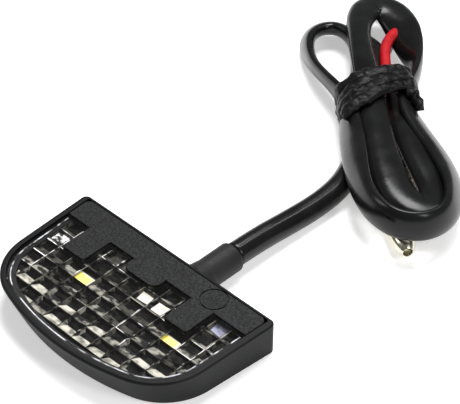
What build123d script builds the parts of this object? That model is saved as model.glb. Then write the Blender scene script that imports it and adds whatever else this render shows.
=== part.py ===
from build123d import *
import math
import os

# Half-moon LED lamp on a flexible sleeved lead. Millimetres, +Z up.
# Origin: centre of the lamp's footprint, on the surface that the lamp lies on.
# +X runs along the straight rear edge, +Y points out of the rear wall, along the lead.

# ---- lamp ------------------------------------------------------------------------------
LAMP_WIDTH = 41.0
LAMP_DEPTH = 25.4
LAMP_HEIGHT = 5.8
REAR_Y = LAMP_DEPTH / 2
BASE_SETBACK = 2.3          # how far the front wall leans in from rim to base
RIM_SIDE_LEAN = 0.05        # the sides close in towards the front, at the rim
BASE_SIDE_LEAN = 0.10       # and a little more at the base
CORNER_RADIUS = 10.0
FRONT_RADIUS = 41.5
REAR_CORNER_RADIUS = 1.0
RIM_ROUND = 0.35
BASE_ROUND = 0.3

RIM_WIDTH = 1.1             # along the sides and the front
REAR_RIM_WIDTH = 0.5        # the rim is thinner behind the mask plate
LEDGE_WIDTH = 0.8
WALL_INSET = RIM_WIDTH + LEDGE_WIDTH
INNER_REAR_Y = REAR_Y - WALL_INSET
FLOOR = 1.0

# ---- lens and mask ---------------------------------------------------------------------
LENS_TOP = 5.55
LENS_BOTTOM = 4.1
LENS_GAP = 0.12
SEAL_HEIGHT = 0.25
LENS_BORDER = 0.85          # clear border with no prisms
CELL_WIDTH = 3.13           # prism cells, along X
CELL_DEPTH = 2.93           # and along Y
CELL_ROWS = 6
CELL_COLUMNS = range(-6, 6)
GRID_X = 0.6                # one boundary between two columns
GRID_Y = -9.5               # front of the first row
PRISM_DEPTH = 0.7
PRISM_MARGIN = 0.18         # flat strip round each prism
FRONT_FACET = 0.9           # run of the slanted front facet
SIDE_FACET = 0.35

MASK_BOTTOM = 4.4
MASK_GAP = 0.18
MASK_ROUND = 0.12
MASK_CORNER = 0.5
MASK_REAR_CORNER = 1.1
BAND_FRONT = 7.65           # front edge of the mask's continuous band
TONGUE_FRONT = 2.0
BULGE_FRONT = 5.2
TONGUES = [(-14.2, -9.5), (7.9, 12.5)]
BULGE = (-4.3, 2.6)
RING_CENTRE = (10.6, 9.75)
RING_DIAMETER = 4.5
RING_GROOVE = 0.22

# ---- electronics -----------------------------------------------------------------------
BOARD_BOTTOM = 1.5
BOARD_TOP = 2.3
BOARD_INSET = WALL_INSET + 1.3
BOARD_REAR = 9.0
POST_DIAMETER = 2.4
PIN_DIAMETER = 1.2
PIN_TOP = BOARD_TOP + 0.4
BOARD_POSTS = [(-14.5, -2.0), (14.8, -3.5), (-11.0, 7.0)]
LEDS = {"left": (-7.6, 0.3), "right": (11.0, 0.0)}
LED_SIZE = (3.4, 2.0, 0.8)
LED_FOOT = (0.6, 1.6, 0.05)
PHOSPHOR_SIZE = (2.6, 1.5, 0.08)
CHIP_PARTS = {
    # x, y, width, depth, height
    "series_resistor_left": (-4.2, -4.0, 2.0, 1.25, 0.5),
    "series_resistor_right": (4.6, -4.0, 2.0, 1.25, 0.5),
    "polarity_diode": (0.2, 4.2, 2.6, 1.6, 0.8),
    "surge_capacitor": (-4.6, 4.2, 2.0, 1.25, 0.6),
}
PAD_Y = 6.4

# ---- lead ------------------------------------------------------------------------------
LEAD_X = 3.8
LEAD_Z = 2.9
SLEEVE_DIAMETER = 4.0
GLAND_BASE_DIAMETER = 5.5
GLAND_TIP_DIAMETER = 5.0
COLLAR_DIAMETER = 4.9
COLLAR_START = REAR_Y + 2.2
COLLAR_END = REAR_Y + 7.9
COLLAR_ROUND = 0.35
WALL_HOLE_DIAMETER = 2.3
INNER_LEAD_DIAMETER = 0.9
INNER_LEAD_SPACING = 1.1
INNER_LEAD_Z = BOARD_TOP + INNER_LEAD_DIAMETER / 2 + 0.05
INNER_LEAD_X = {
    "red": LEAD_X - INNER_LEAD_SPACING / 2,
    "black": LEAD_X + INNER_LEAD_SPACING / 2,
}

# ---- hank, wires and connectors --------------------------------------------------------
# The hank has its own plane: s runs from the tie towards the long loop, t across it.
HANK_ORIGIN = (-4.5, 64.5)
HANK_ANGLE = -42.6
LOOPS = [
    # centre s, centre t, half length, half width, band width, turn, height
    (17.8, 1.1, 18.8, 9.4, 4.6, 0.0, 9.2),
    (-15.3, 2.9, 16.4, 6.6, 3.6, -4.0, 7.0),
    (-12.4, -6.6, 12.6, 5.6, 2.8, 6.0, 5.4),
]
WAIST_LENGTH = 10.0
WAIST_WIDTH = 13.0
WAIST_TOP = 8.0
TIE_LENGTH = 5.0
TIE_THICKNESS = 0.9
TIE_ROUND = 2.0
TIE_TAIL_DIAMETER = 2.6
TIE_TAIL_LENGTH = 4.0

WIRE_DIAMETER = 1.9
BARREL_DIAMETER = 2.7
BARREL_LENGTH = 7.5
BULLET_DIAMETER = 3.9
BULLET_LENGTH = 8.5
BULLET_TAPER = 0.9
BULLET_BORE = (1.4, 3.0)    # diameter, depth

os.makedirs("parts", exist_ok=True)
made = {}


def keep(name, shape):
    """Store one named sub-part."""
    made[name] = shape


# ---- shared shapes ---------------------------------------------------------------------
def lean_at(z):
    return BASE_SIDE_LEAN + (RIM_SIDE_LEAN - BASE_SIDE_LEAN) * z / LAMP_HEIGHT


def front_at(z):
    return -LAMP_DEPTH / 2 + BASE_SETBACK * (1 - z / LAMP_HEIGHT)


def d_outline(inset, z, rear_inset=None):
    """Half-moon face at height z, inset from the lamp's outer surface."""
    rear_inset = inset if rear_inset is None else rear_inset
    lean = math.atan(lean_at(z))
    normal = Vector(math.cos(lean), -math.sin(lean))
    forward = Vector(-math.sin(lean), -math.cos(lean))
    side = Vector(LAMP_WIDTH / 2, REAR_Y) - normal * inset
    side = side + forward * ((side.Y - REAR_Y + rear_inset) / math.cos(lean))
    front_centre = Vector(0, front_at(z) + FRONT_RADIUS)
    corner_radius = CORNER_RADIUS - inset
    front_radius = FRONT_RADIUS - inset
    reach = front_radius - corner_radius
    start = side - normal * corner_radius - front_centre
    along = start.dot(forward)
    travel = -along + math.sqrt(along * along - start.dot(start) + reach * reach)
    corner_centre = start + forward * travel + front_centre
    outward = (corner_centre - front_centre).normalized()
    side_end = corner_centre + normal * corner_radius
    corner_middle = corner_centre + (normal + outward).normalized() * corner_radius
    front_end = front_centre + outward * front_radius
    front = Vector(0, front_at(z) + inset)

    def mirrored(point):
        return Vector(-point.X, point.Y)

    face = make_face([
        Line(mirrored(side), side),
        Line(side, side_end),
        ThreePointArc(side_end, corner_middle, front_end),
        ThreePointArc(front_end, front, mirrored(front_end)),
        ThreePointArc(mirrored(front_end), mirrored(corner_middle), mirrored(side_end)),
        Line(mirrored(side_end), mirrored(side)),
    ])
    rear_corners = face.vertices().group_by(Axis.Y)[-1]
    face = fillet(rear_corners, max(REAR_CORNER_RADIUS - inset, 0.3))
    return Pos(0, 0, z) * face


def d_solid(inset, low, high):
    """Half-moon solid between two heights, its walls leaning with the lamp's."""
    return loft([d_outline(inset, low), d_outline(inset, high)], ruled=True)


def d_plate(inset, rear_inset, low, high):
    """Half-moon solid with upright walls, from the rim's outline."""
    face = Pos(0, 0, low - LAMP_HEIGHT) * d_outline(inset, LAMP_HEIGHT, rear_inset)
    return extrude(face, high - low, dir=(0, 0, 1))


def board_blank(low, high):
    """Half-moon solid with upright walls that clear the housing's at the floor."""
    face = Pos(0, 0, low - FLOOR) * d_outline(BOARD_INSET, FLOOR, REAR_Y - BOARD_REAR)
    return extrude(face, high - low, dir=(0, 0, 1))


def cylinder_y(diameter, x, z, start, end):
    """Round bar along Y."""
    bar = Cylinder(diameter / 2, end - start)
    return Pos(x, (start + end) / 2, z) * Rot(90, 0, 0) * bar


def face_between(left, right, front, back, z):
    """Upright rectangle between four sides."""
    return Pos((left + right) / 2, (front + back) / 2, z) * Rectangle(right - left, back - front)


def block_on(x, y, z, size):
    """Box standing on a height."""
    return Pos(x, y, z + size[2] / 2) * Box(*size)


# ---- housing ---------------------------------------------------------------------------
def make_housing():
    body = d_solid(0, 0, LAMP_HEIGHT)
    body = fillet(body.edges().group_by(Axis.Z)[-1], RIM_ROUND)
    body = fillet(body.edges().group_by(Axis.Z)[0], BASE_ROUND)
    body = body - d_plate(RIM_WIDTH, REAR_RIM_WIDTH, LENS_BOTTOM, LAMP_HEIGHT + 1)
    body = body - d_solid(WALL_INSET, FLOOR, LENS_BOTTOM)
    body = body - cylinder_y(WALL_HOLE_DIAMETER, LEAD_X, LEAD_Z, INNER_REAR_Y - 1, REAR_Y + 1)
    for x, y in BOARD_POSTS:
        post = Cylinder(POST_DIAMETER / 2, BOARD_BOTTOM - FLOOR)
        pin = Cylinder(PIN_DIAMETER / 2, PIN_TOP - FLOOR)
        body = body + Pos(x, y, (FLOOR + BOARD_BOTTOM) / 2) * post
        body = body + Pos(x, y, (FLOOR + PIN_TOP) / 2) * pin
    return body


# ---- mask plate over the rear of the lens ----------------------------------------------
def mask_plan(grow):
    """Plan of the mask, with its front edges grown by a clearance."""
    depth = REAR_Y - BAND_FRONT + grow
    plan = Pos(0, REAR_Y - depth / 2) * Rectangle(LAMP_WIDTH, depth)
    for left, right in TONGUES:
        plan += mask_tongue(left, right, TONGUE_FRONT, MASK_CORNER, grow)
    bulge_round = 0.42 * (BAND_FRONT - BULGE_FRONT + 1)
    plan += mask_tongue(*BULGE, BULGE_FRONT, bulge_round, grow)
    return plan


def mask_tongue(left, right, front, corner, grow):
    """One tongue that reaches from inside the band to its own front edge."""
    root = BAND_FRONT + 1
    width = right - left + 2 * grow
    depth = root - front + grow
    return Pos((left + right) / 2, root - depth / 2) * RectangleRounded(width, depth, corner)


def make_mask():
    plan = Pos(0, 0, MASK_BOTTOM) * mask_plan(0)
    plate = extrude(plan, LAMP_HEIGHT - MASK_BOTTOM, dir=(0, 0, 1))
    sides = RIM_WIDTH + MASK_GAP
    plate = plate & d_plate(sides, REAR_RIM_WIDTH + LENS_GAP, MASK_BOTTOM, LAMP_HEIGHT)
    box = plate.bounding_box()
    rounded = RectangleRounded(box.size.X, 2 * box.size.Y, MASK_REAR_CORNER)
    rounded = Pos(0, box.min.Y, MASK_BOTTOM) * rounded
    plate = plate & extrude(rounded, LAMP_HEIGHT, dir=(0, 0, 1))
    plate = fillet(plate.edges().group_by(Axis.Z)[-1], MASK_ROUND)
    outer = Cylinder(RING_DIAMETER / 2, 2 * RING_GROOVE)
    inner = Cylinder(RING_DIAMETER / 2 - RING_GROOVE, 2 * RING_GROOVE)
    return plate - Pos(*RING_CENTRE, LAMP_HEIGHT) * (outer - inner)


# ---- lens ------------------------------------------------------------------------------
def make_prism(x, y):
    """One cushion under the lens, with a long slanted front facet; x, y is its front left."""
    left = x + PRISM_MARGIN
    right = x + CELL_WIDTH - PRISM_MARGIN
    front = y + PRISM_MARGIN
    back = y + CELL_DEPTH - PRISM_MARGIN
    base = face_between(left, right, front, back, LENS_BOTTOM)
    tip_z = LENS_BOTTOM - PRISM_DEPTH
    tip = face_between(
        left + SIDE_FACET, right - SIDE_FACET, front + FRONT_FACET, back - SIDE_FACET, tip_z
    )
    return loft([tip, base], ruled=True)


def fits_in_lens(x, y, border):
    """True if a whole cell lies inside the lens border and clear of the board's pins."""
    corners = [
        Vector(x + wide, y + deep, LENS_BOTTOM)
        for wide in (0, CELL_WIDTH)
        for deep in (0, CELL_DEPTH)
    ]
    reach_x = (CELL_WIDTH + PIN_DIAMETER) / 2
    reach_y = (CELL_DEPTH + PIN_DIAMETER) / 2
    clear = all(
        abs(x + CELL_WIDTH / 2 - pin_x) > reach_x or abs(y + CELL_DEPTH / 2 - pin_y) > reach_y
        for pin_x, pin_y in BOARD_POSTS
    )
    return clear and all(border.is_inside(corner) for corner in corners)


def prism_places():
    """Front left corners of the cells that fit under the lens."""
    border = d_plate(RIM_WIDTH + LENS_BORDER, WALL_INSET, 0, LAMP_HEIGHT)
    for row in range(CELL_ROWS):
        for column in CELL_COLUMNS:
            x = GRID_X + CELL_WIDTH * column
            y = GRID_Y + CELL_DEPTH * row
            if fits_in_lens(x, y, border):
                yield x, y


def make_lens():
    plate = d_plate(RIM_WIDTH + LENS_GAP, REAR_RIM_WIDTH + LENS_GAP, LENS_BOTTOM, LENS_TOP)
    pocket = Pos(0, 0, MASK_BOTTOM) * mask_plan(0.05)
    plate = plate - extrude(pocket, LAMP_HEIGHT, dir=(0, 0, 1))
    for x, y in prism_places():
        plate = plate + make_prism(x, y)
    return plate


def make_lens_seal():
    """Thin weld bead between the lens's edge and the rim."""
    outer = d_plate(RIM_WIDTH, REAR_RIM_WIDTH, LENS_BOTTOM, LENS_BOTTOM + SEAL_HEIGHT)
    inner_rear = REAR_RIM_WIDTH + LENS_GAP
    return outer - d_plate(RIM_WIDTH + LENS_GAP, inner_rear, LENS_BOTTOM - 1, LENS_BOTTOM + 1)


# ---- electronics -----------------------------------------------------------------------
def make_board():
    board = board_blank(BOARD_BOTTOM, BOARD_TOP)
    for x, y in BOARD_POSTS:
        board = board - Pos(x, y, BOARD_TOP) * Cylinder(PIN_DIAMETER / 2 + 0.05, 4)
    return board


def make_potting():
    """Resin between the floor and the board, around the board posts."""
    fill = board_blank(FLOOR, BOARD_BOTTOM)
    for x, y in BOARD_POSTS:
        fill = fill - Pos(x, y, FLOOR) * Cylinder(POST_DIAMETER / 2 + 0.02, 4)
    return fill


def make_phosphor(x, y):
    top = BOARD_TOP + LED_FOOT[2] + LED_SIZE[2]
    return block_on(x, y, top - PHOSPHOR_SIZE[2], PHOSPHOR_SIZE)


def make_led(x, y):
    """Moulded package with a well for the phosphor."""
    package = block_on(x, y, BOARD_TOP + LED_FOOT[2], LED_SIZE)
    package = chamfer(package.edges().filter_by(Axis.Z), 0.15)
    return package - make_phosphor(x, y)


def make_led_terminals(x, y):
    """Pair of plated feet under one package."""
    reach = (LED_SIZE[0] - LED_FOOT[0]) / 2
    return Compound(children=[
        block_on(x - reach, y, BOARD_TOP, LED_FOOT),
        block_on(x + reach, y, BOARD_TOP, LED_FOOT),
    ])


def make_chip(x, y, width, depth, height):
    return block_on(x, y, BOARD_TOP, (width, depth, height))


def make_solder():
    """Beads at both ends of each chip part and at the two lead pads."""
    beads = []
    for x, y, width, depth, height in CHIP_PARTS.values():
        for side in (-1, 1):
            bead = (0.4, depth * 0.9, height / 2)
            beads.append(block_on(x + side * (width + bead[0]) / 2, y, BOARD_TOP, bead))
    for x in INNER_LEAD_X.values():
        bead = (0.8, 1.2, 0.5)
        beads.append(block_on(x, PAD_Y - bead[1] / 2, BOARD_TOP, bead))
    return Compound(children=beads)


def make_inner_lead(x):
    """Insulated core from the wall's hole to its pad on the board."""
    return cylinder_y(INNER_LEAD_DIAMETER, x, INNER_LEAD_Z, PAD_Y, INNER_REAR_Y)


# ---- gland and collar ------------------------------------------------------------------
def make_gland():
    """Rubber boss outside the rear wall, with a neck that fills the wall's hole."""
    length = COLLAR_START - REAR_Y
    boss = Cone(GLAND_BASE_DIAMETER / 2, GLAND_TIP_DIAMETER / 2, length)
    boss = Pos(LEAD_X, REAR_Y + length / 2, LEAD_Z) * Rot(-90, 0, 0) * boss
    return boss + cylinder_y(WALL_HOLE_DIAMETER, LEAD_X, LEAD_Z, INNER_REAR_Y, REAR_Y)


def make_collar():
    """Matte shrink collar over the start of the sleeve."""
    collar = cylinder_y(COLLAR_DIAMETER, LEAD_X, LEAD_Z, COLLAR_START, COLLAR_END)
    collar = fillet(collar.edges().group_by(Axis.Y)[-1], COLLAR_ROUND)
    return collar - cylinder_y(SLEEVE_DIAMETER, LEAD_X, LEAD_Z, COLLAR_START - 1, COLLAR_END + 1)


# ---- cords -----------------------------------------------------------------------------
def route_radii(points):
    """Arc radius at each corner: 0.45 of the shorter run over the tangent of half the turn."""
    radii = []
    for before, here, after in zip(points, points[1:], points[2:]):
        first = Vector(*here) - Vector(*before)
        second = Vector(*after) - Vector(*here)
        half_turn = math.radians(first.get_angle(second)) / 2
        radii.append(0.45 * min(first.length, second.length) / math.tan(half_turn))
    return radii


def cord_tube(name, points, diameter):
    """Round tube along straight runs joined by tangent arcs."""
    radii = route_radii(points)
    path = FilletPolyline(*points, radius=radii)
    section = Plane(origin=Vector(*points[0]), z_dir=path % 0) * Circle(diameter / 2)
    tube = sweep(section, path=path)
    expected = math.pi * diameter ** 2 / 4 * path.length
    print(name, "radii", [round(radius, 1) for radius in radii])
    print(name, "length", round(path.length, 1), "volume ratio", round(tube.volume / expected, 4))
    return tube


def hank_point(s, t, z):
    """Point of the hank's own plane, in the lamp's frame."""
    angle = math.radians(HANK_ANGLE)
    x = HANK_ORIGIN[0] + s * math.cos(angle) - t * math.sin(angle)
    y = HANK_ORIGIN[1] + s * math.sin(angle) + t * math.cos(angle)
    return x, y, z


HANK_FRAME = Pos(*HANK_ORIGIN, 0) * Rot(0, 0, HANK_ANGLE)

# From the collar's mouth; the sleeve is straight inside the collar.
SLEEVE_ROUTE = [
    (LEAD_X, COLLAR_END, LEAD_Z),
    (3.85, 26.5, 2.8),
    (4.1, 32.5, 2.3),
    (4.4, 38.5, 2.05),
    (4.1, 44.0, 2.05),
]

RED_ROUTE = [
    hank_point(-28.0, 7.9, 2.2),
    hank_point(-22.4, 6.9, 3.3),
    hank_point(-17.4, 3.5, 4.5),
    hank_point(-13.0, 2.1, 4.9),
    hank_point(-7.0, 1.8, 5.1),
    hank_point(-2.0, 0.7, 5.0),
    hank_point(3.0, -1.6, 4.5),
    hank_point(8.5, -2.3, 4.3),
    hank_point(12.5, -2.6, 3.9),
    hank_point(16.0, -2.8, 2.4),
    hank_point(18.4, -2.7, 2.0),
    hank_point(19.8, -2.45, 2.0),
]

BLACK_ROUTE = [
    hank_point(-28.0, 5.4, 1.8),
    hank_point(-22.2, 5.2, 1.8),
    hank_point(-17.2, 3.2, 1.8),
    hank_point(-12.0, 0.6, 2.0),
    hank_point(-6.0, -0.4, 2.6),
    hank_point(-1.0, -0.4, 2.4),
    hank_point(3.4, 0.3, 2.0),
    hank_point(7.0, 1.0, 2.0),
]


def bar_along(start, along, diameter, length):
    """Round bar from a point in a direction."""
    return extrude(Plane(origin=start, z_dir=along) * Circle(diameter / 2), length)


def make_bullet(route):
    """Crimp barrel and hollow bullet, in line with the end of a wire's route."""
    end = Vector(*route[-1])
    along = (end - Vector(*route[-2])).normalized()
    shoulder = end + along * BARREL_LENGTH
    bullet = bar_along(shoulder, along, BULLET_DIAMETER, BULLET_LENGTH)
    tip_edge = bullet.edges().sort_by(lambda edge: (edge.center() - end).dot(along))[-1]
    bullet = chamfer(tip_edge, BULLET_TAPER)
    bore_start = shoulder + along * (BULLET_LENGTH - BULLET_BORE[1])
    bore = bar_along(bore_start, along, BULLET_BORE[0], BULLET_BORE[1] + 1)
    return bar_along(end, along, BARREL_DIAMETER, BARREL_LENGTH) + bullet - bore


def make_waist():
    """The bundle under the tie, in the hank's plane."""
    height = WAIST_TOP - TIE_THICKNESS
    return Pos(0, 0, TIE_THICKNESS + height / 2) * Box(WAIST_LENGTH, WAIST_WIDTH, height)


def make_hank(others):
    """One closed solid of the tied hank's outer shape, less what passes through it."""
    loops = Part()
    for s, t, length, width, band, turn, height in LOOPS:
        ring = Ellipse(length, width) - Ellipse(length - band, width - band)
        loops += extrude(Pos(s, t) * Rot(0, 0, turn) * ring, height)
    loops -= Pos(0, 0, WAIST_TOP / 2) * Box(TIE_LENGTH + 0.02, 3 * WAIST_WIDTH, 2 * WAIST_TOP)
    hank = HANK_FRAME * (loops + make_waist())
    for other in others:
        hank = hank - other
    return hank


def make_tie():
    """Twist tie wound round the waist, with its twisted end."""
    height = WAIST_TOP + TIE_THICKNESS
    width = WAIST_WIDTH + 2 * TIE_THICKNESS
    wrap = Pos(0, 0, height / 2) * Box(TIE_LENGTH, width, height)
    wrap = fillet(wrap.edges().filter_by(Axis.X), TIE_ROUND)
    tail = Cylinder(TIE_TAIL_DIAMETER / 2, TIE_TAIL_LENGTH)
    tail_middle = (width + TIE_TAIL_LENGTH - TIE_THICKNESS / 2) / 2
    tail = Pos(1.0, tail_middle, 0.6 * height) * Rot(90, 0, 0) * tail
    return HANK_FRAME * (wrap - make_waist() + tail)


# ---- build -----------------------------------------------------------------------------
keep("housing", make_housing())
keep("mask_plate", make_mask())
keep("lens", make_lens())
keep("lens_seal", make_lens_seal())
keep("circuit_board", make_board())
keep("potting_fill", make_potting())
keep("solder_joints", make_solder())
for side, place in LEDS.items():
    keep(f"led_{side}_body", make_led(*place))
    keep(f"led_{side}_phosphor", make_phosphor(*place))
    keep(f"led_{side}_terminals", make_led_terminals(*place))
for name, size in CHIP_PARTS.items():
    keep(name, make_chip(*size))
for colour, x in INNER_LEAD_X.items():
    keep(f"inner_lead_{colour}", make_inner_lead(x))

keep("cable_gland", make_gland())
keep("strain_collar", make_collar())
sleeve = cord_tube("cable_sleeve", SLEEVE_ROUTE, SLEEVE_DIAMETER)
sleeve = sleeve + cylinder_y(SLEEVE_DIAMETER, LEAD_X, LEAD_Z, COLLAR_START, COLLAR_END)
keep("cable_sleeve", sleeve)
keep("wire_red", cord_tube("wire_red", RED_ROUTE, WIRE_DIAMETER))
keep("wire_black", cord_tube("wire_black", BLACK_ROUTE, WIRE_DIAMETER))
keep("bullet_red", make_bullet(RED_ROUTE))
keep("bullet_black", make_bullet(BLACK_ROUTE))
keep("twist_tie", make_tie())
through_hank = [
    "cable_sleeve", "wire_red", "wire_black", "bullet_red", "bullet_black", "twist_tie"
]
keep("cable_hank", make_hank([made[name] for name in through_hank]))

for name, shape in made.items():
    shape.label = name
    export_step(shape, f"parts/{name}.step")
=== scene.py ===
import math
import random
from itertools import product

import bmesh
import bpy
from mathutils import Matrix, Vector, noise
from mathutils.geometry import convex_hull_2d


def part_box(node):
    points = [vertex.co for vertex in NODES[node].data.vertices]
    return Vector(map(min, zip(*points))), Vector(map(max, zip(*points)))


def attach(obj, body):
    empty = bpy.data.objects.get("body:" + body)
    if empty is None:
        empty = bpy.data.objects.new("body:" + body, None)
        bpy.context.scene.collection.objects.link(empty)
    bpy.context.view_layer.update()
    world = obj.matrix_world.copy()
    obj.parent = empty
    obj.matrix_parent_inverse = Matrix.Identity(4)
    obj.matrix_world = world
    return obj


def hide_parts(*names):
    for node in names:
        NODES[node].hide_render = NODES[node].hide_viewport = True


MM = 0.001

# The camera looks down on the lamp's front right corner.
CAMERA_AT = Vector((148.3, -127.4, 192.8)) * MM
CAMERA_AIM = Vector((-7.7, 31.75, 0)) * MM
CAMERA_LENS = 143.7         # on a 36 mm sensor

# Prism cells under the lens, on the CAD part's grid, in millimetres.
CELL_WIDTH = 3.13
CELL_DEPTH = 2.93
GRID_X = 0.6
GRID_Y = -9.5
CELL_COLUMNS = range(-7, 6)
CELL_ROWS = 6
CELL_BORDER = 0.9
CELL_MARGIN = 0.08
PLATE_THICKNESS = 1.45
COVER_GAP = 0.03            # between the plate's walls and the facets under it
FRONT_ROWS = 4
FRONT_FACET = 1.3           # run of a prism's front face, in the front rows
REAR_ROW_FACET = 0.6        # and in the rest
SIDE_FACET = 0.4
FACET_SLIP = 0.16           # how far the corners of a prism's flat stray
# Cells over the LEDs are open, and a few others have flats painted with the light they catch, by
# column and row.
OPEN_CELLS = {(-3, 3), (3, 3)}
SPECIAL_FLATS = {
    (0, 4): "bright_light", (1, 4): "bright_light", (4, 5): "blue_light", (-6, 4): "streak_highlight", (-3, 5): "dim_light",
    (-2, 5): "dim_light",
}

# A thin line round the lens's edge, its bright patches a painted glint.
GLINT_INSET = 0.55
GLINT_DEPTH = 0.3
GLINT_REAR = 7.4            # it stops where the mask covers the edge
GLINT_STEP = 0.4
GLINT_SIZE = (0.25, 0.22)

# The lead. Places are in millimetres; the hank has its own plane, as in the CAD part:
# s runs from the tie towards the long loop, t across it, and z up.
SLEEVE_BORE = 0.72          # share of the diameter
SLEEVE_MOUTH = 1.5          # how deep the open end is sunk
WIRE_DIAMETER = 1.9
COLLAR_END = Vector((3.8, 20.6, 2.9))
HANK_ORIGIN = Vector((-4.5, 64.5))
HANK_ANGLE = math.radians(-42.6)
ROUND = (4.0, 4.0, 0)       # width, thickness and roll in degrees of the sleeve's section


def hank_point(s, t, z):
    """A point of the hank's plane, in the lamp's frame."""
    offset = Vector((s, t))
    offset.rotate(Matrix.Rotation(HANK_ANGLE, 2))
    return Vector((*(HANK_ORIGIN + offset), z))


# Each step of the sleeve's route: a point, then the section's width, thickness and roll.
LEAD_ROUTE = [
    (COLLAR_END, ROUND),
    (Vector((3.85, 26.5, 2.8)), ROUND),
    (Vector((4.1, 32.5, 2.3)), ROUND),
    (Vector((4.4, 38.5, 2.05)), ROUND),
    (Vector((4.1, 44.0, 2.05)), ROUND),
]
HANK_ROUTE = [
    # under the long loop and through the tie
    (hank_point(16.5, -7.0, 2.05), ROUND),
    (hank_point(11.0, -4.6, 2.05), ROUND),
    (hank_point(4.0, -3.3, 2.05), ROUND),
    (hank_point(-3.0, -2.4, 2.05), ROUND),
    # short left loop, on edge
    (hank_point(-9.0, -2.8, 2.3), (4.6, 2.6, 90)),
    (hank_point(-14.5, -2.4, 2.6), (4.9, 2.1, 95)),
    (hank_point(-19.5, -2.4, 2.7), (5.0, 2.4, 110)),
    (hank_point(-23.2, -4.5, 2.7), (5.2, 2.4, 134)),
    (hank_point(-23.4, -7.9, 2.7), (5.2, 2.4, 140)),
    (hank_point(-20.8, -10.4, 2.7), (5.0, 2.4, 120)),
    (hank_point(-16.8, -10.9, 2.7), (5.0, 2.3, 96)),
    (hank_point(-12.0, -10.1, 2.9), (5.0, 1.9, 73)),
    (hank_point(-7.0, -8.2, 3.5), (5.0, 2.0, 68)),
    (hank_point(-2.0, -6.5, 4.2), (5.0, 2.1, 80)),
    # long outer loop, its inner edge higher
    (hank_point(3.5, -5.9, 4.8), (5.2, 2.2, 110)),
    (hank_point(9.7, -6.0, 5.6), (5.4, 2.2, 128)),
    (hank_point(15.3, -6.2, 6.3), (5.4, 2.2, 130)),
    (hank_point(20.6, -6.2, 6.5), (5.4, 2.2, 124)),
    (hank_point(25.8, -5.9, 6.6), (5.4, 2.2, 112)),
    (hank_point(30.4, -4.6, 6.7), (5.4, 2.2, 102)),
    (hank_point(34.2, -1.6, 6.7), (5.4, 2.2, 96)),
    (hank_point(34.8, 3.0, 6.5), (5.4, 2.2, 96)),
    (hank_point(31.4, 7.2, 6.0), (5.4, 2.2, 104)),
    (hank_point(25.6, 8.8, 5.4), (5.3, 2.3, 122)),
    (hank_point(19.8, 8.6, 5.0), (5.2, 2.4, 134)),
    (hank_point(14.4, 7.3, 4.7), (5.2, 2.4, 138)),
    (hank_point(8.5, 5.4, 4.6), (5.6, 2.4, 136)),
    (hank_point(2.3, 4.0, 4.4), (5.6, 2.4, 124)),
    # round the short right loop
    (hank_point(-3.6, 5.4, 3.8), (5.2, 2.2, 90)),
    (hank_point(-8.0, 7.1, 3.4), (5.2, 2.0, 86)),
    (hank_point(-11.6, 7.6, 3.4), (5.2, 2.0, 72)),
    (hank_point(-16.2, 6.9, 3.9), (5.8, 2.2, 38)),
    (hank_point(-21.4, 6.0, 4.5), (6.4, 2.3, 12)),
    (hank_point(-25.9, 4.3, 4.8), (6.4, 2.3, 0)),
    (hank_point(-26.2, 1.0, 5.0), (6.4, 2.4, 0)),
    (hank_point(-22.6, -1.1, 5.2), (5.0, 2.8, 0)),
    (hank_point(-17.6, -1.9, 5.6), (4.0, 3.2, 0)),
    (hank_point(-11.0, -2.0, 6.0), (4.2, 3.0, 0)),
    # down the middle of the long loop, lying flat
    (hank_point(-4.0, -1.9, 6.4), (4.7, 2.7, 0)),
    (hank_point(3.0, -1.9, 6.6), (4.9, 2.6, 0)),
    (hank_point(11.6, -2.0, 6.6), (5.3, 2.5, 0)),
    (hank_point(19.6, -1.6, 6.4), (5.8, 2.5, 0)),
    (hank_point(26.2, -0.8, 5.9), (6.0, 2.5, 0)),
    (hank_point(30.2, 3.6, 5.4), (5.6, 2.5, 0)),
    (hank_point(25.8, 6.0, 5.0), (4.8, 2.4, 0)),
    (hank_point(18.5, 4.3, 5.2), (4.6, 2.4, 0)),
    (hank_point(9.5, 2.9, 5.2), (4.4, 2.4, 0)),
    (hank_point(2.5, 2.9, 3.4), (4.4, 2.8, 0)),
    (hank_point(-4.0, 1.6, 1.9), (4.4, 3.4, 0)),
    # and under the short right loop to the sleeve's end
    (hank_point(-11.0, 1.0, 2.7), (4.8, 3.0, 0)),
    (hank_point(-16.5, 0.9, 2.4), (4.6, 3.0, 0)),
    (hank_point(-20.8, -1.4, 2.0), (3.2, 3.2, 0)),
    (hank_point(-26.5, -1.2, 1.6), (4.0, 3.0, 0)),
    (hank_point(-31.0, 0.6, 1.6), (4.4, 3.0, 0)),
    (hank_point(-31.4, 4.4, 1.6), (4.4, 3.0, 0)),
    (hank_point(-27.4, 6.8, 1.8), (4.2, 3.4, 0)),
]
RED_ROUTE = [
    hank_point(-28.0, 7.9, 2.2),
    hank_point(-22.4, 6.9, 3.3),
    hank_point(-17.4, 3.5, 4.5),
    hank_point(-13.0, 2.1, 4.9),
    hank_point(-7.0, 1.8, 5.1),
    hank_point(-2.0, 0.7, 5.0),
    hank_point(3.0, -1.6, 4.5),
    hank_point(8.5, -2.3, 4.3),
    hank_point(12.5, -2.6, 3.9),
    hank_point(16.0, -2.8, 2.4),
    hank_point(18.4, -2.7, 2.0),
    hank_point(19.8, -2.45, 2.0),
]
BLACK_ROUTE = [
    hank_point(-28.0, 5.4, 1.8),
    hank_point(-22.2, 5.2, 1.8),
    hank_point(-17.2, 3.2, 1.8),
    hank_point(-12.0, 0.6, 2.0),
    hank_point(-6.0, -0.4, 2.6),
    hank_point(-1.0, -0.4, 2.4),
    hank_point(3.4, 0.3, 2.0),
    hank_point(7.0, 1.0, 2.0),
]

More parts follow.
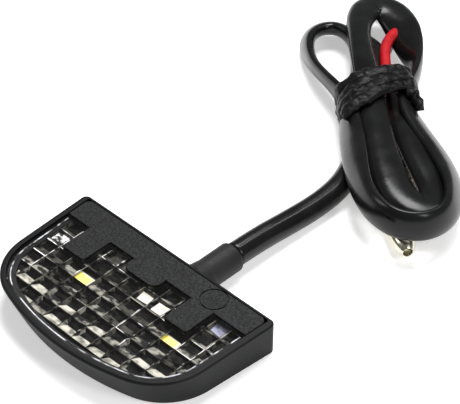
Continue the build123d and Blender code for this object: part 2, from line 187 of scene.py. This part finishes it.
# The bullet connector: distances from the wire's end, and radii, to the bottom of its mouth.
BULLET_PROFILE = [
    (-0.1, 0.8), (0.0, 1.15), (0.1, 1.35), (1.2, 1.35), (1.5, 1.35), (3.0, 1.35), (4.5, 1.35),
    (6.0, 1.35), (7.1, 1.35), (7.3, 1.5), (7.4, 1.85), (7.5, 1.95), (7.9, 1.95), (8.1, 1.85),
    (8.3, 1.7), (8.6, 1.7), (8.8, 1.9), (9.0, 1.95), (12.2, 1.95), (13.4, 1.84), (14.4, 1.62),
    (15.2, 1.34), (15.7, 1.08), (15.9, 0.9), (15.85, 0.78), (15.6, 0.72), (13.4, 0.7),
    (13.2, 0.4), (13.2, 0.05),
]
BULLET_STEP = 0.4
CRIMPS = (2.4, 5.2)         # distances of the dents in the barrel
CRIMP_REACH = 1.2           # half a dent's length
CRIMP_DEPTH = 0.28          # share of the radius

# The twist tie: a strip wound round the hank's waist, which is a rounded rectangle in t and z.
TIE_TURNS = 3.5
TIE_STEPS = 320
TIE_START = 0.35            # radians before the first turn's right side
TIE_CENTRE = (-0.8, -0.8, 4.8)
TIE_HALF_WIDTH = 6.2
TIE_HALF_HEIGHT = 3.75
TIE_TRAVEL = 4.6            # along s, from the first turn to the last
TIE_FAN = 0.13              # how much more the turns spread on the left, for each millimetre
TIE_SKEW = 0.42             # how far their left side leans to the long loop, by the same
TIE_WIDTH = 2.7
TIE_THICKNESS = 1.5
TIE_TAIL_WIDTH = 2.5
TIE_TAIL_THICKNESS = 1.6
TIE_TAIL_TWIST = 9          # radians
TIE_TAIL_ROUTE = [
    hank_point(0.0, 3.6, 6.6),
    hank_point(1.6, 4.8, 7.0),
    hank_point(3.4, 5.8, 6.4),
    hank_point(4.4, 6.0, 5.2),
]

# Slight casts of the greys.
COOL = (0.96, 1.0, 1.04)
WARM = (1.0, 0.96, 0.84)

# Softboxes: name, place and size in metres, and power in watts. They face the object.
SOFTBOXES = [
    ("top_box", (-0.12, 0.20, 0.50), (0.20, 0.26), 2.9),
    ("left_box", (-0.40, -0.25, 0.30), (0.14, 0.26), 0.5),
    ("strip_box", (0.02, 0.32, 0.42), (0.03, 0.30), 0.5),
    ("front_box", (0.40, 0.05, 0.35), (0.10, 0.26), 0.9),
]
SOFTBOX_AIM = Vector((0.0, 0.03, 0.0))
FLOOR_HALF = 1.5

# ---- scene, frame and camera -----------------------------------------------------------
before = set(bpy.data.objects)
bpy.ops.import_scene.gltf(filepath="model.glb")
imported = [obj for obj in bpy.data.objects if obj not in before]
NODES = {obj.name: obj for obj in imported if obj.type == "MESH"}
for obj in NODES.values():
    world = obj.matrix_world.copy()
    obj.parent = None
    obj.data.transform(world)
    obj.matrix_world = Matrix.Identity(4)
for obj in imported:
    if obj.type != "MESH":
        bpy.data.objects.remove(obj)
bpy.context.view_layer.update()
random.seed(7)


def add_camera():
    data = bpy.data.cameras.new("camera")
    data.sensor_fit = "HORIZONTAL"
    data.sensor_width = 36
    data.lens = CAMERA_LENS
    data.clip_start = 0.01
    data.clip_end = 10
    camera = bpy.data.objects.new("camera", data)
    camera.location = CAMERA_AT
    camera.rotation_euler = (CAMERA_AIM - CAMERA_AT).to_track_quat("-Z", "Y").to_euler()
    bpy.context.collection.objects.link(camera)
    bpy.context.scene.camera = camera


# ---- node helpers ----------------------------------------------------------------------
def new_material(name):
    """An empty node material: its tree, its Principled shader and its object coordinates."""
    material = bpy.data.materials.new(name)
    material.use_nodes = True
    tree = material.node_tree
    shader = tree.nodes["Principled BSDF"]
    place = tree.nodes.new("ShaderNodeTexCoord").outputs["Object"]
    return material, tree, shader, place


def noise_value(tree, place, size, detail=3.0, stretch=None):
    """Noise whose blobs are about size millimetres across."""
    texture = tree.nodes.new("ShaderNodeTexNoise")
    texture.inputs["Scale"].default_value = 1 / (size * MM)
    texture.inputs["Detail"].default_value = detail
    if stretch is not None:
        mapping = tree.nodes.new("ShaderNodeMapping")
        mapping.inputs["Scale"].default_value = stretch
        tree.links.new(place, mapping.inputs["Vector"])
        place = mapping.outputs["Vector"]
    tree.links.new(place, texture.inputs["Vector"])
    return texture.outputs["Fac"]


def ramp(tree, value, stops):
    """Colours or greys at places from 0 to 1."""
    node = tree.nodes.new("ShaderNodeValToRGB")
    elements = node.color_ramp.elements
    while len(elements) < len(stops):
        elements.new(0.5)
    for element, (place, colour) in zip(elements, stops):
        element.position = place
        element.color = (*colour, 1)
    tree.links.new(value, node.inputs["Fac"])
    return node.outputs["Color"]


def spread(tree, value, low, high):
    """Maps the middle of a noise, 0.3 to 0.7, to a range."""
    node = tree.nodes.new("ShaderNodeMapRange")
    node.inputs["From Min"].default_value = 0.3
    node.inputs["From Max"].default_value = 0.7
    node.inputs["To Min"].default_value = low
    node.inputs["To Max"].default_value = high
    tree.links.new(value, node.inputs["Value"])
    return node.outputs["Result"]


def bump(tree, shader, layers):
    """Chains bumps, each a height and its depth in millimetres, into the shader's normal."""
    normal = None
    for height, depth in layers:
        node = tree.nodes.new("ShaderNodeBump")
        node.inputs["Distance"].default_value = depth * MM
        tree.links.new(height, node.inputs["Height"])
        if normal is not None:
            tree.links.new(normal, node.inputs["Normal"])
        normal = node.outputs["Normal"]
    tree.links.new(normal, shader.inputs["Normal"])


def moulded(name, dark, light, rough, grain, depth, blotch=4.0, level=0.5):
    """Moulded plastic or rubber: colour blotches, and a fine grain in bump and roughness."""
    material, tree, shader, place = new_material(name)
    blotches = noise_value(tree, place, blotch)
    grains = noise_value(tree, place, grain, 2.0)
    colour = ramp(tree, blotches, [(0.35, dark), (0.65, light)])
    tree.links.new(colour, shader.inputs["Base Color"])
    tree.links.new(spread(tree, grains, *rough), shader.inputs["Roughness"])
    shader.inputs["Specular IOR Level"].default_value = level
    bump(tree, shader, [(grains, depth), (blotches, depth * 2)])
    return material


def grey(value, tint=(1.0, 1.0, 1.0)):
    return tuple(value * part for part in tint)


# ---- materials -------------------------------------------------------------------------
def housing_material():
    return moulded(
        "satin_case_plastic", grey(0.006, COOL), grey(0.008, COOL), rough=(0.42, 0.55),
        grain=0.12, depth=0.006, level=0.13,
    )


def mask_material():
    """Spark-eroded texture: coarse matt grains, their tips painted paler, a painted sparkle of
    light.
    """
    material, tree, shader, place = new_material("grained_mask_plastic")
    grains = noise_value(tree, place, 0.28, 2.0)
    # Paler where the grain stands highest: a painted sparkle.
    colour = ramp(tree, grains, [(0.42, grey(0.006, COOL)), (0.64, grey(0.019, COOL))])
    tree.links.new(colour, shader.inputs["Base Color"])
    tree.links.new(spread(tree, grains, 0.7, 0.45), shader.inputs["Roughness"])
    shader.inputs["Specular IOR Level"].default_value = 0.2
    bump(tree, shader, [(grains, 0.08), (noise_value(tree, place, 6.0), 0.05)])
    return material


def rubber_material():
    return moulded(
        "matt_rubber", grey(0.010), grey(0.016), rough=(0.5, 0.65), grain=0.35, depth=0.008,
        level=0.25,
    )


def board_material():
    return moulded(
        "black_board", (0.006, 0.008, 0.005), (0.012, 0.014, 0.008), rough=(0.3, 0.5),
        grain=0.5, depth=0.01,
    )


def led_material():
    return moulded(
        "cream_led_moulding", (0.6, 0.56, 0.42), (0.72, 0.68, 0.52), rough=(0.35, 0.5),
        grain=0.3, depth=0.004,
    )


def sleeve_material():
    """Soft PVC sleeve: glossy, with faint dents and rubbed patches."""
    material, tree, shader, place = new_material("glossy_pvc_sleeve")
    patches = noise_value(tree, place, 5.0, 4.0)
    dents = noise_value(tree, place, 2.6, 2.0)
    colour = ramp(tree, patches, [(0.3, grey(0.006)), (0.7, grey(0.010, COOL))])
    tree.links.new(colour, shader.inputs["Base Color"])
    tree.links.new(spread(tree, patches, 0.17, 0.28), shader.inputs["Roughness"])
    shader.inputs["Specular IOR Level"].default_value = 0.22
    bump(tree, shader, [(dents, 0.035), (noise_value(tree, place, 0.4), 0.001)])
    return material


def tie_material():
    material, tree, shader, place = new_material("crumpled_black_film")
    creases = noise_value(tree, place, 1.4, 6.0)
    colour = ramp(tree, creases, [(0.3, grey(0.002)), (0.7, grey(0.005))])
    tree.links.new(colour, shader.inputs["Base Color"])
    tree.links.new(spread(tree, creases, 0.3, 0.5), shader.inputs["Roughness"])
    shader.inputs["Specular IOR Level"].default_value = 0.15
    bump(tree, shader, [(creases, 0.35)])
    return material


def wire_material(name, dark, light):
    return moulded(name, dark, light, rough=(0.28, 0.4), grain=0.5, depth=0.005, blotch=2.0)


def metal_material(name, dark, light, rough):
    material, tree, shader, place = new_material(name)
    stains = noise_value(tree, place, 1.6, 5.0)
    colour = ramp(tree, stains, [(0.3, dark), (0.7, light)])
    tree.links.new(colour, shader.inputs["Base Color"])
    shader.inputs["Metallic"].default_value = 1.0
    tree.links.new(spread(tree, stains, *rough), shader.inputs["Roughness"])
    bump(tree, shader, [(noise_value(tree, place, 0.5, 2.0), 0.01)])
    return material


def clear_material():
    """Clear polycarbonate, with the faintest flow marks."""
    material, tree, shader, place = new_material("clear_lens_plastic")
    shader.inputs["Base Color"].default_value = (0.97, 0.97, 0.95, 1)
    shader.inputs["Transmission Weight"].default_value = 1.0
    shader.inputs["IOR"].default_value = 1.5
    shader.inputs["Roughness"].default_value = 0.02
    bump(tree, shader, [(noise_value(tree, place, 3.0, 2.0), 0.004)])
    # The lights reach what is under the plate, as they do through the real one.
    lamps = tree.nodes.new("ShaderNodeLightPath").outputs["Is Shadow Ray"]
    through = tree.nodes.new("ShaderNodeBsdfTransparent")
    mix = tree.nodes.new("ShaderNodeMixShader")
    tree.links.new(lamps, mix.inputs["Fac"])
    tree.links.new(shader.outputs["BSDF"], mix.inputs[1])
    tree.links.new(through.outputs["BSDF"], mix.inputs[2])
    tree.links.new(mix.outputs["Shader"], tree.nodes["Material Output"].inputs["Surface"])
    return material


def facet_material(name, stops, rough=0.12, size=1.5):
    """One kind of face on the underside of the lens, with painted light and shade in streaks."""
    material, tree, shader, place = new_material(name)
    painted_streaks = noise_value(tree, place, size, 1.5, (1.0, 1.5, 1.0))
    tree.links.new(ramp(tree, painted_streaks, stops), shader.inputs["Base Color"])
    shader.inputs["Roughness"].default_value = rough
    shader.inputs["Specular IOR Level"].default_value = 0.08
    bump(tree, shader, [(painted_streaks, 0.01)])
    return material


def phosphor_material():
    material, tree, shader, place = new_material("yellow_phosphor_painted_glow")
    grains = noise_value(tree, place, 0.3)
    colour = ramp(tree, grains, [(0.3, (0.80, 0.62, 0.04)), (0.7, (0.95, 0.80, 0.12))])
    tree.links.new(colour, shader.inputs["Base Color"])
    # A painted glow: the phosphor shines with its own colour, as if lit from within.
    tree.links.new(colour, shader.inputs["Emission Color"])
    shader.inputs["Emission Strength"].default_value = 0.35
    shader.inputs["Roughness"].default_value = 0.4
    bump(tree, shader, [(grains, 0.01)])
    return material


def floor_material():
    material, _, shader, _ = new_material("pale_floor")
    shader.inputs["Base Color"].default_value = (0.92, 0.92, 0.92, 1)
    shader.inputs["Roughness"].default_value = 0.9
    shader.inputs["Emission Color"].default_value = (1, 1, 1, 1)
    shader.inputs["Emission Strength"].default_value = 0.45
    return material


def facet_materials():
    """The kinds of face that a prism of the lens can have, with painted light and shade in their
    colours.
    """
    return {
        # Painted light and shade: dark is shade, cream warm light, the rest dim, hazy, streaked,
        # bright and blue light.
        "dark": facet_material("facet_painted_shade", [(0.45, grey(0.001)), (0.70, grey(0.008, WARM))]),
        "dim_light": facet_material("facet_painted_dim_light", [(0.40, grey(0.003)), (0.62, grey(0.07, WARM))]),
        "hazy_light": facet_material("facet_painted_hazy_light", [(0.42, grey(0.02)), (0.60, grey(0.30, WARM))]),
        "streak_highlight": facet_material("facet_painted_streak_highlight", [(0.44, grey(0.03)), (0.54, grey(0.90))]),
        "cream": facet_material("facet_painted_warm_light", [(0.34, grey(0.16, WARM)), (0.6, grey(0.55, WARM))]),
        "bright_light": facet_material("facet_painted_bright_light", [(0.4, grey(0.55, WARM)), (0.56, grey(0.80, WARM))]),
        "blue_light": facet_material(
            "facet_painted_blue_light", [(0.42, (0.12, 0.13, 0.19)), (0.6, (0.30, 0.31, 0.42))]
        ),
    }


# A painted glint: bright patches on dark, where light catches the lens's edge.
def edge_glint_material():
    stops = [(0.45, grey(0.03)), (0.58, (0.75, 0.75, 0.80))]
    return facet_material("painted_edge_glint", stops, rough=0.2, size=2.6)


# The lens seal's bead: dark, with bright streaks of painted glint.
def seal_glint_material():
    stops = [(0.46, grey(0.03)), (0.56, grey(0.9))]
    return facet_material("weld_bead", stops, rough=0.3, size=1.2)


# ---- mesh helpers ----------------------------------------------------------------------
def dress(obj, material):
    obj.data.materials.clear()
    obj.data.materials.append(material)


def mesh_object(name, mesh, material=None, node=None):
    """A new piece on the root body, in place of a CAD node where one is given. A mesh that
    has its materials already is given none."""
    piece = bpy.data.objects.new(name, mesh)
    bpy.context.collection.objects.link(piece)
    if material:
        dress(piece, material)
    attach(piece, "root")
    if node:
        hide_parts(node)
    return piece


def sample(points, steps=14):
    """Points along the smooth curve that a route's points control."""
    curve = bpy.data.curves.new("route", "CURVE")
    curve.dimensions = "3D"
    curve.resolution_u = steps
    spline = curve.splines.new("NURBS")
    spline.points.add(len(points) - 1)
    for control, point in zip(spline.points, points):
        control.co = (*point, 1)
    spline.order_u = 3
    spline.use_endpoint_u = True
    carrier = bpy.data.objects.new("route", curve)
    mesh = bpy.data.meshes.new_from_object(carrier)
    found = [vertex.co.copy() for vertex in mesh.vertices]
    bpy.data.objects.remove(carrier)
    bpy.data.curves.remove(curve)
    bpy.data.meshes.remove(mesh)
    return found


def tangents(spine):
    last = len(spine) - 1
    return [
        (spine[min(i + 1, last)] - spine[max(i - 1, 0)]).normalized()
        for i in range(len(spine))
    ]


def skin(name, spine, wides, sizes, ring=24, hollow=0.0):
    """A closed tube along a spine. wides are the directions of the section's width, and
    sizes its widths and thicknesses. Its far end is sunk by the depth of hollow."""
    rings = []
    for point, along, wide, size in zip(spine, tangents(spine), wides, sizes):
        wide = (wide - along * wide.dot(along)).normalized()
        thick = along.cross(wide)
        rings.append([
            point
            + wide * size[0] / 2 * math.cos(angle)
            + thick * size[1] / 2 * math.sin(angle)
            for angle in (2 * math.pi * k / ring for k in range(ring))
        ])
    if hollow:
        end, along = spine[-1], tangents(spine)[-1]
        mouth = [end + (corner - end) * SLEEVE_BORE for corner in rings[-1]]
        rings.append(mouth)
        rings.append([corner - along * hollow for corner in mouth])
    mesh = bmesh.new()
    rows = [[mesh.verts.new(corner) for corner in corners] for corners in rings]
    for one, other in zip(rows, rows[1:]):
        for k in range(ring):
            near = (k + 1) % ring
            mesh.faces.new((one[k], one[near], other[near], other[k]))
    mesh.faces.new(reversed(rows[0]))
    mesh.faces.new(rows[-1])
    bmesh.ops.recalc_face_normals(mesh, faces=mesh.faces)
    for face in mesh.faces:
        face.smooth = len(face.verts) == 4
    data = bpy.data.meshes.new(name)
    mesh.to_mesh(data)
    mesh.free()
    return data


def across(along, roll):
    """Width direction of a section that is rolled about its own line, 0 when it lies flat."""
    side = Vector((along.y, -along.x, 0)).normalized()
    return side * math.cos(roll) + side.cross(along) * math.sin(roll)


# ---- cords -----------------------------------------------------------------------------
def make_sleeve():
    steps = LEAD_ROUTE + HANK_ROUTE
    spine = sample([point * MM for point, _ in steps])
    sections = sample([Vector(section) for _, section in steps])
    wides = [
        across(along, math.radians(section.z))
        for along, section in zip(tangents(spine), sections)
    ]
    sizes = [(section.x * MM, section.y * MM) for section in sections]
    mesh = skin("sleeve", spine, wides, sizes, hollow=SLEEVE_MOUTH * MM)
    piece = mesh_object("sleeved_cable", mesh, sleeve_material())
    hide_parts("cable_sleeve", "cable_hank")
    return piece, spine


def make_wire(name, route, material, node):
    spine = sample([point * MM for point in route])
    wides = [across(along, 0) for along in tangents(spine)]
    size = WIRE_DIAMETER * MM
    mesh = skin(name, spine, wides, [(size, size)] * len(spine), ring=16)
    return mesh_object(name, mesh, material, node), spine


# ---- bullet connectors -----------------------------------------------------------------
def turned(name, start, along, profile, squeeze, ring=40):
    """A lathe mesh: profile holds (distance along, radius) pairs, in millimetres, and squeeze
    gives the share of the radius that is left at a distance and an angle."""
    side = across(along, 0)
    up = along.cross(side)
    mesh = bmesh.new()
    rows = []
    for distance, radius in profile:
        row = []
        for k in range(ring):
            angle = 2 * math.pi * k / ring
            reach = radius * squeeze(distance, angle)
            offset = side * math.cos(angle) + up * math.sin(angle)
            row.append(mesh.verts.new((start + along * distance + offset * reach) * MM))
        rows.append(row)
    for one, other in zip(rows, rows[1:]):
        for k in range(ring):
            near = (k + 1) % ring
            mesh.faces.new((one[k], one[near], other[near], other[k]))
    mesh.faces.new(reversed(rows[0]))
    mesh.faces.new(rows[-1])
    bmesh.ops.recalc_face_normals(mesh, faces=mesh.faces)
    data = bpy.data.meshes.new(name)
    mesh.to_mesh(data)
    mesh.free()
    data.shade_smooth()
    data.set_sharp_from_angle(angle=math.radians(32))
    return data


def crimped(distance, angle):
    """Two dents pressed into the barrel's top."""
    dent = 0.0
    for centre in CRIMPS:
        nearness = max(0.0, 1 - abs(distance - centre) / CRIMP_REACH)
        dent += nearness * CRIMP_DEPTH * max(0.0, math.cos(angle - math.pi / 2)) ** 3
    return 1 - dent


def make_bullet(name, route, material, node):
    along = (route[-1] - route[-2]).normalized()
    profile = []
    for (a, ra), (b, rb) in zip(BULLET_PROFILE, BULLET_PROFILE[1:]):
        count = max(1, round(abs(b - a) / BULLET_STEP))
        profile += [(a + (b - a) * k / count, ra + (rb - ra) * k / count) for k in range(count)]
    profile.append(BULLET_PROFILE[-1])
    mesh = turned(name, route[-1], along, profile, crimped)
    return mesh_object(name, mesh, material, node)


# ---- twist tie -------------------------------------------------------------------------
def bowed(value):
    """Sine or cosine value of a rounded rectangle, fuller than a circle's."""
    return math.copysign(abs(value) ** 0.75, value)


def make_tie_wrap(material):
    """A crumpled strip wound round the waist, fanned out on the left."""
    spine, sizes = [], []
    middle_s, middle_t, middle_z = TIE_CENTRE
    for k in range(TIE_STEPS + 1):
        fraction = k / TIE_STEPS
        angle = 2 * math.pi * TIE_TURNS * fraction - TIE_START
        wobble = noise.noise(Vector((fraction * 23, 0.3, 0.7)))
        t = bowed(math.cos(angle)) * (TIE_HALF_WIDTH + 0.5 * wobble) + middle_t
        z = bowed(math.sin(angle)) * (TIE_HALF_HEIGHT + 0.4 * wobble) + middle_z
        fan = 1 + TIE_FAN * max(0.0, -t)
        s = middle_s + (fraction - 0.42) * TIE_TRAVEL * fan - TIE_SKEW * t
        s += 0.5 * math.sin(angle + 0.6)
        spine.append(hank_point(s, t, z) * MM)
        width = TIE_WIDTH + 1.0 * noise.noise(Vector((fraction * 37, 4.1, 0)))
        thickness = TIE_THICKNESS + 0.6 * noise.noise(Vector((fraction * 51, 9.1, 0)))
        sizes.append((width * MM, thickness * MM))
    wides = [hank_point(1, 0, 0) - hank_point(0, 0, 0)] * len(spine)
    mesh = skin("tie_wrap", spine, wides, sizes, ring=28)
    crumple(mesh, 1.8, 0.35)
    piece = mesh_object("twist_tie_wrap", mesh, material, "twist_tie")


def make_tie_tail(material):
    """The tie's twisted end, in sight on the right, narrower at its tip."""
    spine = sample([point * MM for point in TIE_TAIL_ROUTE])
    last = len(spine) - 1
    wides = [
        Matrix.Rotation(TIE_TAIL_TWIST * k / last, 3, along) @ across(along, 0)
        for k, along in enumerate(tangents(spine))
    ]
    sizes = [
        (TIE_TAIL_WIDTH * MM * (1 - 0.35 * (k / last) ** 4), TIE_TAIL_THICKNESS * MM)
        for k in range(last + 1)
    ]
    mesh = skin("tie_tail", spine, wides, sizes, ring=20)
    crumple(mesh, 0.9, 0.12)
    piece = mesh_object("twist_tie_tail", mesh, material)


def crumple(mesh, size, depth):
    """Moves each vertex along its normal by smooth noise, in millimetres."""
    moves = [
        vertex.normal * depth * MM * noise.fractal(vertex.co / (size * MM), 0.8, 2.0, 3)
        for vertex in mesh.vertices
    ]
    for vertex, move in zip(mesh.vertices, moves):
        vertex.co += move
    mesh.update()


# ---- lens ------------------------------------------------------------------------------
def make_cover(painted_shade_edges):
    """The clear plate: the lens's exposed top face and its edges, open underneath, where the
    facets are its lower surface. Its edges take the facets' painted shade."""
    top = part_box("lens")[1][2]
    mesh = bmesh.new()
    mesh.from_mesh(NODES["lens"].data)
    bmesh.ops.remove_doubles(mesh, verts=mesh.verts, dist=1e-6)
    hidden = [face for face in mesh.faces if face.calc_center_median().z < top - 0.01 * MM]
    bmesh.ops.delete(mesh, geom=hidden, context="FACES")
    bmesh.ops.dissolve_limit(mesh, angle_limit=0.01, verts=mesh.verts, edges=mesh.edges)
    plate = mesh.faces[:]
    sunk = bmesh.ops.extrude_face_region(mesh, geom=plate, use_keep_orig=True)["geom"]
    for vertex in (item for item in sunk if isinstance(item, bmesh.types.BMVert)):
        vertex.co.z = top - (PLATE_THICKNESS - COVER_GAP) * MM
    bmesh.ops.recalc_face_normals(mesh, faces=mesh.faces)
    underside = [
        face for face in mesh.faces
        if face.calc_center_median().z < top - MM and abs(face.normal.z) > 0.5
    ]
    bmesh.ops.delete(mesh, geom=underside, context="FACES_ONLY")
    # Its walls take the dark facets' painted shade.
    for face in mesh.faces:
        face.material_index = int(abs(face.normal.z) < 0.5)
    data = bpy.data.meshes.new("cover")
    mesh.to_mesh(data)
    mesh.free()
    data.materials.append(clear_material())
    data.materials.append(painted_shade_edges)
    piece = mesh_object("lens_cover", data, node="lens")


def make_edge_glint():
    """The thin line that follows the lens's edge, clear of the mask, its bright patches a painted
    glint.
    """
    outline = lens_outline()
    line = []
    for here, after in zip(outline, outline[1:] + outline[:1]):
        count = max(1, round((after - here).length / (GLINT_STEP * MM)))
        line += [here.lerp(after, k / count) for k in range(count)]
    # Begin behind the left side, so that what is kept runs round the front to the right.
    start = max(range(len(line)), key=lambda k: (line[k].y > GLINT_REAR * MM, -line[k].x, -k))
    line = [point for point in line[start:] + line[:start] if point.y < GLINT_REAR * MM]
    middle = Vector((0, -2)) * MM
    height = Vector((0, 0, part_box("lens")[1][2] - GLINT_DEPTH * MM))
    spine = [
        (point + (middle - point).normalized() * GLINT_INSET * MM).to_3d() + height
        for point in line
    ]
    wides = [Vector((0, 0, 1))] * len(spine)
    sizes = [tuple(size * MM for size in GLINT_SIZE)] * len(spine)
    mesh = skin("edge_glint", spine, wides, sizes, ring=8)
    piece = mesh_object("lens_edge_glint", mesh, edge_glint_material())


def facet_kinds(column, row):
    """Kinds of one prism's flat, front, back, left and right faces, and of the ridge round
    it, each with painted light and shade in its colour. The rows differ, because the
    light reaches them at different slants."""
    flat = SPECIAL_FLATS.get((column, row), "dark")
    if row <= 1:
        front = random.choice(["cream", "cream", "cream", "hazy_light"])
        right = random.choice(["streak_highlight", "hazy_light", "dim_light"])
        return flat, front, "dark", random.choice(["hazy_light", "dim_light"]), right, "dim_light"
    if row <= 3:
        front = random.choice(["hazy_light", "hazy_light", "dim_light"])
        right = random.choice(["hazy_light", "dim_light", "streak_highlight"])
        return flat, front, "dark", "dim_light", right, random.choice(["dim_light", "hazy_light", "streak_highlight"])
    front = random.choice(["dim_light", "hazy_light", "dim_light"])
    right = random.choice(["cream", "hazy_light", "dim_light"])
    return flat, front, "dim_light", "dim_light", right, random.choice(["streak_highlight", "dim_light", "hazy_light"])


def make_facets(materials):
    """The faces on the lens's underside, as they look through the clear plate, their light and
    shade painted into their colours.
    """
    kinds = list(materials)
    low, high = (corner[2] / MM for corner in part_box("lens"))
    top = high - PLATE_THICKNESS
    mesh = bmesh.new()

    def quad(corners, kind):
        face = mesh.faces.new([mesh.verts.new(Vector(corner) * MM) for corner in corners])
        face.material_index = kinds.index(kind)

    for column, row in product(CELL_COLUMNS, range(CELL_ROWS)):
        if (column, row) in OPEN_CELLS:
            continue
        flat, front, back, left, right, ridge = facet_kinds(column, row)
        x, y = GRID_X + column * CELL_WIDTH, GRID_Y + row * CELL_DEPTH
        outer = rectangle(x, x + CELL_WIDTH, y, y + CELL_DEPTH, top)
        base = inset(outer, CELL_MARGIN, CELL_MARGIN, CELL_MARGIN, top)
        front_run = FRONT_FACET if row < FRONT_ROWS else REAR_ROW_FACET
        tip = inset(base, SIDE_FACET, front_run, SIDE_FACET, low)
        slips = [random.uniform(-FACET_SLIP, FACET_SLIP) for _ in range(8)]
        tip = [(x + slips[k], y + slips[k + 4], z) for k, (x, y, z) in enumerate(tip)]
        quad(tip, flat)
        for k, kind in enumerate((front, right, back, left)):
            near = (k + 1) % 4
            quad([base[k], base[near], tip[near], tip[k]], kind)
            quad([outer[k], outer[near], base[near], base[k]], ridge)
    clip_to_lens(mesh, CELL_BORDER * MM)
    data = bpy.data.meshes.new("facets")
    mesh.to_mesh(data)
    mesh.free()
    for material in materials.values():
        data.materials.append(material)
    piece = mesh_object("lens_facets", data)


def lens_outline():
    """The lens's outline, which is convex."""
    points = [vertex.co.to_2d() for vertex in NODES["lens"].data.vertices]
    return [points[k] for k in convex_hull_2d(points)]


def clip_to_lens(mesh, border):
    """Trims a mesh to the lens's outline, less a border."""
    outline = lens_outline()
    for here, after in zip(outline, outline[1:] + outline[:1]):
        if (after - here).length < 1e-6:
            continue
        outward = Vector((after.y - here.y, here.x - after.x, 0)).normalized()
        place = here.to_3d() - outward * border
        everything = mesh.verts[:] + mesh.edges[:] + mesh.faces[:]
        bmesh.ops.bisect_plane(
            mesh, geom=everything, plane_co=place, plane_no=outward, clear_outer=True
        )


def rectangle(left, right, front, back, z):
    return [(left, front, z), (right, front, z), (right, back, z), (left, back, z)]


def inset(corners, sides, front, back, z):
    """A smaller rectangle inside another, at its own height."""
    (left, near, _), _, (right, far, _), _ = corners
    return rectangle(left + sides, right - sides, near + front, far - back, z)


# ---- studio ----------------------------------------------------------------------------
def add_softbox(name, place, size, power):
    data = bpy.data.lights.new(name, "AREA")
    data.shape = "RECTANGLE"
    data.size, data.size_y = size
    data.energy = power
    box = bpy.data.objects.new(name, data)
    box.location = place
    box.rotation_euler = (SOFTBOX_AIM - Vector(place)).to_track_quat("-Z", "Y").to_euler()
    bpy.context.collection.objects.link(box)


def add_studio():
    world = bpy.data.worlds.new("studio")
    world.use_nodes = True
    background = world.node_tree.nodes["Background"]
    background.inputs["Color"].default_value = (1, 1, 1, 1)
    background.inputs["Strength"].default_value = 0.16
    bpy.context.scene.world = world
    for softbox in SOFTBOXES:
        add_softbox(*softbox)
    bpy.context.scene.view_settings.view_transform = "Standard"


def add_floor():
    mesh = bpy.data.meshes.new("floor")
    corners = rectangle(-FLOOR_HALF, FLOOR_HALF, -FLOOR_HALF, FLOOR_HALF, 0)
    mesh.from_pydata(corners, [], [(0, 1, 2, 3)])
    floor = bpy.data.objects.new("floor", mesh)
    bpy.context.collection.objects.link(floor)
    dress(floor, floor_material())


# ---- build -----------------------------------------------------------------------------
add_camera()
sleeve, sleeve_line = make_sleeve()
red_pvc = wire_material("red_insulation", (0.42, 0.005, 0.010), (0.52, 0.010, 0.016))
red, red_line = make_wire("red_wire", RED_ROUTE, red_pvc, "wire_red")
black_pvc = wire_material("black_insulation", grey(0.006), grey(0.010))
black, black_line = make_wire("black_wire", BLACK_ROUTE, black_pvc, "wire_black")
nickel = metal_material("nickel_plate", (0.70, 0.66, 0.52), (0.90, 0.87, 0.74), (0.16, 0.34))
red_bullet = make_bullet("red_wire_bullet", RED_ROUTE, nickel, "bullet_red")
black_bullet = make_bullet("black_wire_bullet", BLACK_ROUTE, nickel, "bullet_black")
tie = tie_material()
make_tie_wrap(tie)
make_tie_tail(tie)
facets = facet_materials()
# The cover's edges are painted with shade.
make_cover(facets["dark"])
make_edge_glint()
make_facets(facets)

rubber = rubber_material()
solder = metal_material("solder", (0.35, 0.35, 0.34), (0.6, 0.6, 0.58), (0.25, 0.4))
cream = led_material()
phosphor = phosphor_material()
finishes = {
    "housing": housing_material(), "mask_plate": mask_material(), "lens_seal": seal_glint_material(),
    "circuit_board": board_material(), "potting_fill": rubber, "solder_joints": solder,
    "cable_gland": rubber, "strain_collar": rubber, "series_resistor_left": rubber,
    "series_resistor_right": rubber, "polarity_diode": rubber, "surge_capacitor": cream,
    "inner_lead_red": red_pvc, "inner_lead_black": black_pvc,
    "led_left_body": cream, "led_right_body": cream,
    "led_left_phosphor": phosphor, "led_right_phosphor": phosphor,
    "led_left_terminals": solder, "led_right_terminals": solder,
}
for node, finish in finishes.items():
    dress(NODES[node], finish)

add_studio()
add_floor()
